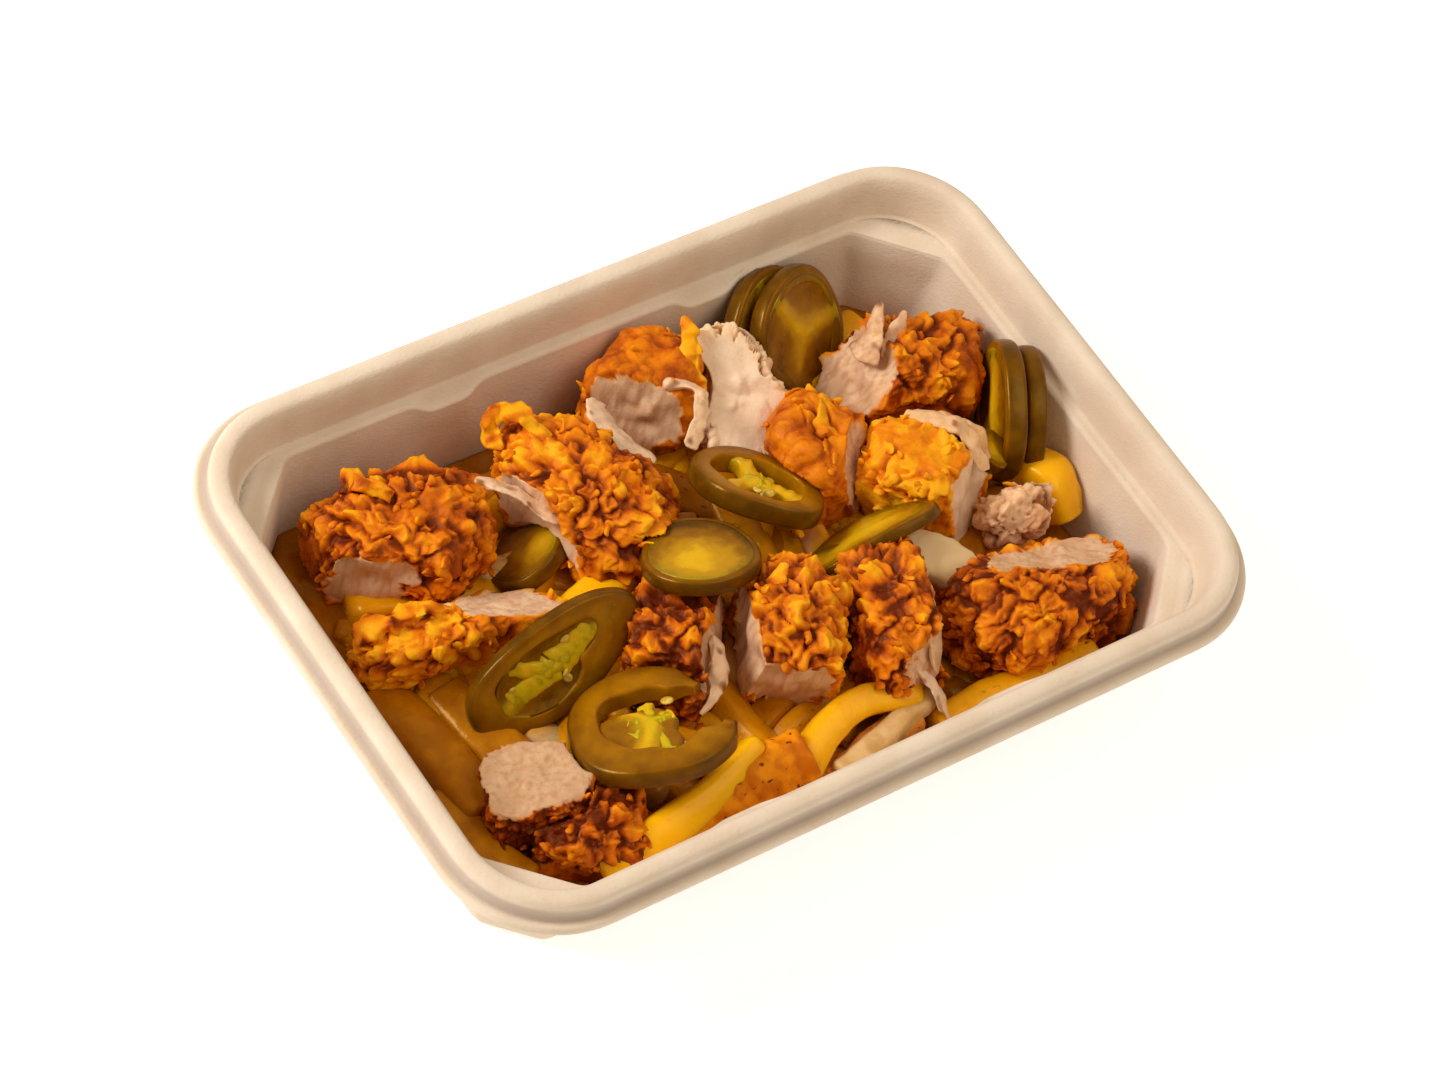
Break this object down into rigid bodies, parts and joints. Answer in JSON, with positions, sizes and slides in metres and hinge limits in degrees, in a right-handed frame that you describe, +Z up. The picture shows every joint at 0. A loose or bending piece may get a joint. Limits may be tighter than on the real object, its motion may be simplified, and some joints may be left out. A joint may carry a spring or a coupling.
{
  "type": "tray of loaded fries",
  "caption": "Moulded-pulp takeaway tray of loaded fries: cheese-coated fries under chopped crispy fried chicken and pickled jalapeno slices.",
  "frame": {"origin": "centre of the tray's flat base, on the surface that it stands on", "axes": "+X along the tray's length, +Y across it, +Z up"},
  "size_m": [0.23, 0.1592, 0.045],
  "materials": {
    "pulp": "matte moulded fibre, cream",
    "fries": "fried potato coated with glossy cheese sauce",
    "fried_chicken": "craggy golden-orange crust with pale cut meat",
    "jalapeno": "wet olive pickled pepper with yellow pith"
  },
  "bodies": {
    "root": {"tray": "pulp", "fries_heap": "fries", "chicken_01": "fried_chicken", "chicken_02": "fried_chicken", "chicken_03": "fried_chicken", "chicken_04": "fried_chicken", "chicken_05": "fried_chicken", "chicken_06": "fried_chicken", "chicken_07": "fried_chicken", "chicken_08": "fried_chicken", "chicken_09": "fried_chicken", "chicken_10": "fried_chicken", "chicken_11": "fried_chicken", "chicken_12": "fried_chicken", "chicken_13": "fried_chicken", "chicken_14": "fried_chicken", "chicken_15": "fried_chicken", "chicken_16": "fried_chicken", "jalapeno_01": "jalapeno", "jalapeno_02": "jalapeno", "jalapeno_03": "jalapeno", "jalapeno_04": "jalapeno", "jalapeno_05": "jalapeno", "jalapeno_06": "jalapeno", "jalapeno_07": "jalapeno", "jalapeno_08": "jalapeno", "jalapeno_09": "jalapeno", "jalapeno_10": "jalapeno", "jalapeno_11": "jalapeno", "jalapeno_12": "jalapeno"}
  },
  "joints": []
}
